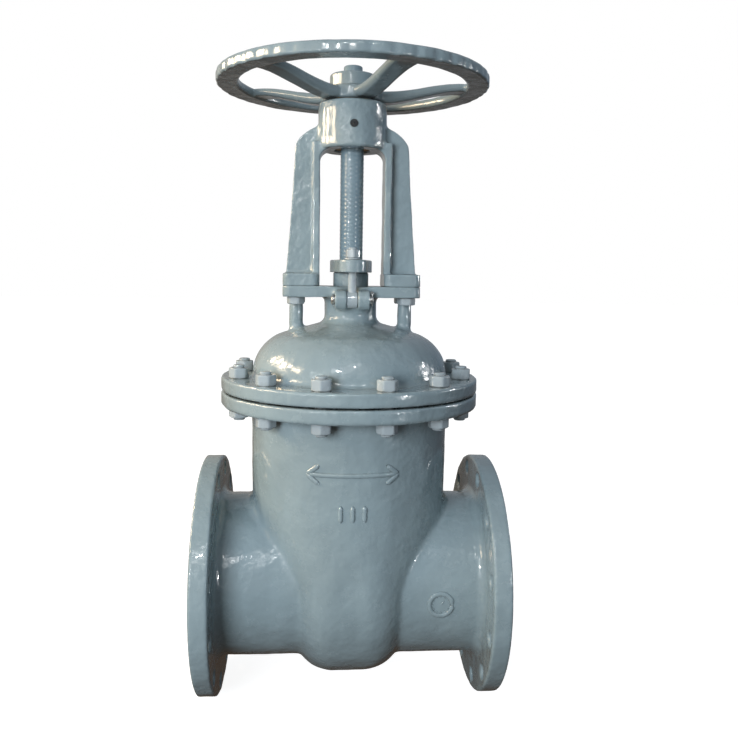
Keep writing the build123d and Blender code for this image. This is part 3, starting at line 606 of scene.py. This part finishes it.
# (radius, height) of the plain bar over the head and of the collar that seals against the back seat
COLLAR = ((STEM_R, 0.1655), (30 * MM, 0.1695), (30 * MM, 0.1795), (28 * MM, 0.1815), (STEM_R, 0.1875))
PLAIN_LOW = 0.1905
THREAD_LEAD = 8 * MM
THREAD_LOW = 0.555
THREAD_DEPTH = 0.30 * MM
PLAIN_STEP = 10 * MM
THREAD_STEP = 0.8 * MM


def stem_profile(low_z, high_z):
    """Closed half profile of the round part, close rows of points where the thread runs."""
    head_top = low_z + HEAD_H
    tip_low = high_z - STEM_TIP_H
    rows = [(ON_AXIS, head_top - 2 * MM), (STEM_R, head_top - 2 * MM), *COLLAR]
    z = PLAIN_LOW
    while z < THREAD_LOW:
        rows.append((STEM_R, z))
        z += PLAIN_STEP
    while z < tip_low - 4 * MM:
        rows.append((STEM_R, z))
        z += THREAD_STEP
    return rows + [(STEM_TIP_R + 0.3 * MM, tip_low), (STEM_TIP_R, tip_low + 1 * MM),
                   (STEM_TIP_R, high_z - 2.5 * MM), (STEM_TIP_R - 0.7 * MM, high_z - 0.9 * MM),
                   (STEM_TIP_R - 2.2 * MM, high_z), (ON_AXIS, high_z)]


def cut_thread(points, tip_low):
    """Presses the thread's groove, half filled with paint, into the round bar."""
    turn = np.arctan2(points[:, 1], points[:, 0])
    phase = points[:, 2] / THREAD_LEAD + turn / (2 * math.pi)
    groove = np.clip(1.6 * np.abs((phase % 1) * 2 - 1) - 0.3, 0, 1)
    bare = np.clip((points[:, 2] - THREAD_LOW) / (6 * MM), 0, 1)
    bare *= points[:, 2] < tip_low - 3 * MM
    points[:, :2] *= (1 - THREAD_DEPTH / STEM_R * groove * bare)[:, None]


def stem_head(low_z, start):
    """The square head with eased edges: its points, and its faces counted on from start."""
    head_top = low_z + HEAD_H
    block = []
    for z, inset in ((low_z, HEAD_EDGE), (low_z + HEAD_EDGE, 0),
                     (head_top - HEAD_EDGE, 0), (head_top, HEAD_EDGE)):
        for x, y in ((-1, -1), (1, -1), (1, 1), (-1, 1)):
            block.append((x * (HEAD_HALF_X - inset), y * (HEAD_HALF_Y - inset), z))
    faces = [(start + 3, start + 2, start + 1, start), tuple(start + 12 + k for k in range(4))]
    for level in range(3):
        for k in range(4):
            after = (k + 1) % 4
            faces.append(tuple(start + i for i in (level * 4 + k, level * 4 + after,
                                                   level * 4 + 4 + after, level * 4 + 4 + k)))
    return block, faces


def stem():
    """The stem: T head and back-seat collar below, then plain bar, then the painted-over thread."""
    low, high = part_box("stem")
    points, faces = lathe_mesh(stem_profile(low.z, high.z), 72)
    cut_thread(points, high.z - STEM_TIP_H)
    block, block_faces = stem_head(low.z, len(points))
    piece = mesh_object("stem_threaded", np.concatenate([points, block]), faces + block_faces,
                        stem_enamel)
    piece.data.set_sharp_from_angle(angle=math.radians(38))
    stand_for(piece, "stem")


# ---- raised marks on the body ---------------------------------------------------------------------
# half of a strip's cross-section, from its edge in the surface to its crest
STRIP_SIDE = ((1.0, -0.25), (0.92, 0.25), (0.75, 0.72), (0.45, 0.95))
ARROW_Z, ARROW_HALF, ARROW_BARB = 0.243, 0.080, 0.017
BARS_Z, BAR_HALF, BAR_PITCH = 0.174, 0.015, 0.021
CLOCK_X, CLOCK_Z, CLOCK_R = 0.165, -0.007, 0.021
CLOCK_TICKS = 12
TICK_IN_R, TICK_OUT_R = 0.0135, 0.0175
# width and height of the marks and of the clock's fine ones
BOLD = (9.0 * MM, 3.6 * MM)
FINE = (2.8 * MM, 2.0 * MM)


def raised_strip(surface, path, width, height):
    """A raised bar with a rounded crest along a path of (x, z), laid on the front of surface."""
    across = [(-a, h) for a, h in STRIP_SIDE] + [(0, 1.0)] + list(reversed(STRIP_SIDE))
    rows = []
    count = len(path)
    for k, (x, z) in enumerate(path):
        before = path[max(k - 1, 0)]
        after = path[min(k + 1, count - 1)]
        along = Vector((after[0] - before[0], after[1] - before[1])).normalized()
        taper = min(1.0, 0.35 + 0.65 * min(k, count - 1 - k) / 2)
        row = []
        for a, h in across:
            px = x - along.y * a * width / 2 * taper
            pz = z + along.x * a * width / 2 * taper
            spot, normal, _, _ = surface.ray_cast(Vector((px, -1.0, pz)), Vector((0, 1, 0)))
            row.append(spot + normal * (h * height * (0.2 + 0.8 * taper if h > 0 else 1)))
        rows.append(row)
    points = [p for row in rows for p in row]
    wide = len(across)
    faces = []
    for k in range(count - 1):
        for m in range(wide - 1):
            faces.append((k * wide + m, (k + 1) * wide + m, (k + 1) * wide + m + 1, k * wide + m + 1))
    faces.append(tuple(reversed(range(wide))))
    faces.append(tuple((count - 1) * wide + m for m in range(wide)))
    return points, faces


def straight(start, end, steps=14):
    return [(start[0] + (end[0] - start[0]) * k / steps, start[1] + (end[1] - start[1]) * k / steps)
            for k in range(steps + 1)]


def circle_path(centre, radius, steps=48):
    return [(centre[0] + radius * math.cos(2 * math.pi * k / steps),
             centre[1] + radius * math.sin(2 * math.pi * k / steps)) for k in range(steps + 1)]


def arrow_paths():
    """A line with a barbed head at both ends."""
    paths = [straight((-ARROW_HALF, ARROW_Z), (ARROW_HALF, ARROW_Z), 40)]
    for side in (-1, 1):
        for lean in (-1, 1):
            paths.append(straight((side * ARROW_HALF, ARROW_Z),
                                  (side * (ARROW_HALF - ARROW_BARB * 1.25), ARROW_Z + lean * ARROW_BARB)))
    return paths


def bar_paths():
    return [straight((k * BAR_PITCH, BARS_Z - BAR_HALF), (k * BAR_PITCH, BARS_Z + BAR_HALF))
            for k in (-1, 0, 1)]


def clock_marks():
    """Ticks round the clock and its one hand."""
    marks = []
    for k in range(CLOCK_TICKS):
        a = 2 * math.pi * k / CLOCK_TICKS
        marks.append(straight((CLOCK_X + TICK_IN_R * math.cos(a), CLOCK_Z + TICK_IN_R * math.sin(a)),
                              (CLOCK_X + TICK_OUT_R * math.cos(a), CLOCK_Z + TICK_OUT_R * math.sin(a)), 5))
    marks.append(straight((CLOCK_X, CLOCK_Z), (CLOCK_X + 0.006, CLOCK_Z + 0.008), 6))
    return marks


def cast_marks(body_piece):
    """Plain foundry marks in relief: a double-headed flow arrow, three bars under it and a date clock."""
    surface = BVHTree.FromObject(body_piece, bpy.context.evaluated_depsgraph_get())
    bold = arrow_paths() + bar_paths() + [circle_path((CLOCK_X, CLOCK_Z), CLOCK_R)]
    points, faces = [], []
    for path, size in [(path, BOLD) for path in bold] + [(path, FINE) for path in clock_marks()]:
        new_points, new_faces = raised_strip(surface, path, *size)
        start = len(points)
        points += new_points
        faces += [tuple(i + start for i in face) for face in new_faces]
    marks = mesh_object("body_cast_marks", points, faces, cast_enamel)
    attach(marks, CASING)


# ---- studio ------------------------------------------------------------------------------------------
AIR_LEFT = (0.50, 0.45, 0.38)
AIR_RIGHT = (0.16, 0.22, 0.29)
AIR_ABOVE = (0.33, 0.37, 0.41)
AIR_BELOW = (0.062, 0.043, 0.030)
WARM = (1.0, 0.76, 0.50)
# along Y, height, width and power of each pane of the window
WINDOW_PANES = ((-1.10, 1.40, 0.55, 16), (-0.45, 1.62, 0.45, 18), (0.10, 1.45, 0.30, 16),
                (0.55, 1.70, 0.25, 12), (1.05, 1.50, 0.30, 12))
SPARKS = ((2.5, 0.15, 0.67), (2.5, 0.28, 0.69), (2.4, 0.2, 1.2), (-0.6, -2.2, 1.6), (-1.3, -1.9, 0.8),
          (1.6, -1.8, 0.4), (0.1, -2.4, 2.2))
COOL = (0.94, 1.0, 1.08)
SPARK_SIZE, SPARK_POWER = 0.05, 6
WINDOW_X, WINDOW_H = -2.6, 0.5
FRONT_PLACE = (-1.3, -2.5, 0.8)
FRONT_AIM = (0, 0, 0.35)
FRONT_SIZE, FRONT_POWER = 1.2, 72
# the point in the bonnet that the window and the small lamps are turned to
MIDDLE = (0, 0, 0.4)
FLOOR_GLOW = 0.90
FLOOR_HALF = 20
LENS_MM = 37.95
CAMERA_PLACE = (-0.06425, -1.4995, 0.5953)
CAMERA_TURN = (82.85, -0.86, -3.78)


def area_light(name, place, aim, size, power, colour=(1, 1, 1), shines=True, mirrors=True):
    """A lamp that lights matt surfaces if shines, and is seen in glossy ones if mirrors."""
    lamp = bpy.data.lights.new(name, "AREA")
    lamp.shape = "RECTANGLE"
    lamp.size, lamp.size_y = size
    lamp.energy = power
    lamp.color = colour
    made = bpy.data.objects.new(name, lamp)
    made.location = place
    made.rotation_euler = (Vector(aim) - Vector(place)).to_track_quat("-Z", "Y").to_euler()
    made.visible_diffuse = shines
    made.visible_glossy = mirrors
    bpy.context.scene.collection.objects.link(made)


def surround():
    """Air that is dark and brown from below, pale above, warm on the left and cool on the right, and
    plain white where the camera looks straight at it."""
    world = bpy.data.worlds.new("studio_air")
    world.use_nodes = True
    tree = world.node_tree
    tree.nodes.clear()

    def node(kind, **settings):
        made = tree.nodes.new(kind)
        for key, value in settings.items():
            setattr(made, key, value)
        return made

    def share(source, low, high):
        made = node("ShaderNodeMapRange", interpolation_type="SMOOTHSTEP")
        made.inputs["From Min"].default_value = low
        made.inputs["From Max"].default_value = high
        tree.links.new(source, made.inputs["Value"])
        return made.outputs["Result"]

    def mixed(factor, first, second):
        made = node("ShaderNodeMix", data_type="RGBA")
        tree.links.new(factor, made.inputs[0])
        for socket, value in ((made.inputs[6], first), (made.inputs[7], second)):
            if isinstance(value, bpy.types.NodeSocket):
                tree.links.new(value, socket)
            else:
                socket.default_value = (*value, 1)
        return made.outputs[2]

    heading = node("ShaderNodeSeparateXYZ")
    tree.links.new(node("ShaderNodeTexCoord").outputs["Generated"], heading.inputs[0])
    across = share(heading.outputs["X"], -0.9, 0.9)
    level = mixed(across, AIR_LEFT, AIR_RIGHT)
    above = mixed(share(heading.outputs["Z"], 0.0, 0.8), level, AIR_ABOVE)
    air = mixed(share(heading.outputs["Z"], -0.40, 0.10), AIR_BELOW, above)
    seen = mixed(node("ShaderNodeLightPath").outputs["Is Camera Ray"], air, (1, 1, 1))
    background = node("ShaderNodeBackground")
    tree.links.new(seen, background.inputs["Color"])
    output = node("ShaderNodeOutputWorld")
    tree.links.new(background.outputs[0], output.inputs["Surface"])
    bpy.context.scene.world = world


def pale_floor():
    """A plain, nearly white floor that glows a little, so that only a faint shadow lies on it."""
    n = Nodes("studio_paper")
    tone = n.mix(n.spread(n.noise(1.5, 2), 0.3, 0.7), (0.42, 0.42, 0.415), (0.46, 0.46, 0.455))
    n.link(tone, n.shader.inputs["Base Color"])
    n.shader.inputs["Roughness"].default_value = 0.9
    n.shader.inputs["Specular IOR Level"].default_value = 0.1
    n.shader.inputs["Emission Color"].default_value = (1, 1, 1, 1)
    n.shader.inputs["Emission Strength"].default_value = FLOOR_GLOW
    floor_z = cad_low.z - 0.5 * MM
    corners = [(x * FLOOR_HALF, y * FLOOR_HALF, floor_z) for x, y in ((-1, -1), (1, -1), (1, 1), (-1, 1))]
    floor = mesh_object("studio_floor", corners, [(0, 1, 2, 3)], n.material)
    floor.visible_diffuse = False
    floor.visible_glossy = False


def studio():
    """The air, a long warm window on the left, a soft cool lamp in front, and small lamps that only
    glint in the paint."""
    surround()
    pale_floor()
    for k, (y, z, width, power) in enumerate(WINDOW_PANES):
        area_light(f"window_pane_{k}", (WINDOW_X, y, z), MIDDLE, (width, WINDOW_H), power, WARM)
    area_light("front", FRONT_PLACE, FRONT_AIM, (FRONT_SIZE, FRONT_SIZE), FRONT_POWER, COOL,
               mirrors=False)
    for k, place in enumerate(SPARKS):
        area_light(f"spark_{k}", place, MIDDLE, (SPARK_SIZE, SPARK_SIZE), SPARK_POWER, shines=False)


def camera():
    """The viewing place: in front, a little left of the stem, level with the gland, looking down."""
    lens = bpy.data.cameras.new("camera")
    lens.sensor_width = 36
    lens.lens = LENS_MM
    lens.clip_end = 50
    made = bpy.data.objects.new("camera", lens)
    made.location = CAMERA_PLACE
    made.rotation_euler = [math.radians(turn) for turn in CAMERA_TURN]
    bpy.context.scene.collection.objects.link(made)
    bpy.context.scene.camera = made


# ---- assembly ----------------------------------------------------------------------------------------
BODY_END_X = 276 * MM
BODY_JOINT_Z = 365.5 * MM
BONNET_JOINT_Z = 373.5 * MM
YOKE_FOOT_Z = 568.5 * MM
YOKE_TOP_Z = 900 * MM
YOKE_BORE_R, YOKE_BORE_Z = 51.5 * MM, 815 * MM
WHEEL_BORE_R = 34 * MM


def past(values, edge, blend):
    """0 up to the edge, and 1 from blend past it; a negative blend counts the other way."""
    return np.clip((values - edge) / blend, 0, 1)


def machined_body(points):
    """The end faces and the joint face of the body are cut by a tool."""
    ends = past(np.abs(points[:, 0]), BODY_END_X, 4 * MM)
    joint = past(points[:, 2], BODY_JOINT_Z, 1 * MM)
    return np.maximum(ends, joint)


def machined_bonnet(points):
    return past(points[:, 2], BONNET_JOINT_Z, -1 * MM)


def machined_yoke(points):
    """The yoke's feet, its top face and the bore that holds the bearings."""
    feet = past(points[:, 2], YOKE_FOOT_Z, -1 * MM)
    top = past(points[:, 2], YOKE_TOP_Z, 2 * MM)
    bore = past(radius_of(points), YOKE_BORE_R, -2 * MM) * (points[:, 2] > YOKE_BORE_Z)
    return np.maximum(np.maximum(feet, top), bore)


def machined_hub(points):
    return past(radius_of(points), WHEEL_BORE_R, -2 * MM)


camera()
dress_cad_nodes()
body_piece = casting("body", cast_enamel, 3.0 * MM, 60, 0.45 * MM, 3, machined_body)
casting("bonnet", cast_enamel, 2.4 * MM, 40, 0.40 * MM, 11, machined_bonnet)
casting("yoke", frame_enamel, 1.9 * MM, 30, 0.35 * MM, 21, machined_yoke)
grip_waves(casting("handwheel", wheel_enamel, 1.9 * MM, 20, 0.30 * MM, 31, machined_hub))
casting("gland_flange", cast_enamel, 1.2 * MM, 8, 0.15 * MM, 41)
casting("gland_eyebolts", fastener_enamel, 0.9 * MM, 6, 0.0, 43)
casting("eyebolt_pins", bright_steel, 0.7 * MM, 0, 0.0, 45)
casting("split_pins", bright_steel, 0.4 * MM, 0, 0.0, 47)
casting("wheel_lock_nut", wheel_enamel, 1.0 * MM, 4, 0.1 * MM, 49)
casting("wedge", primed_iron, 3.0 * MM, 12, 0.3 * MM, 51)
cover_fasteners()
gland_fasteners()
yoke_fasteners()
stem()
cast_marks(body_piece)
studio()
bpy.context.scene.view_settings.view_transform = "Standard"
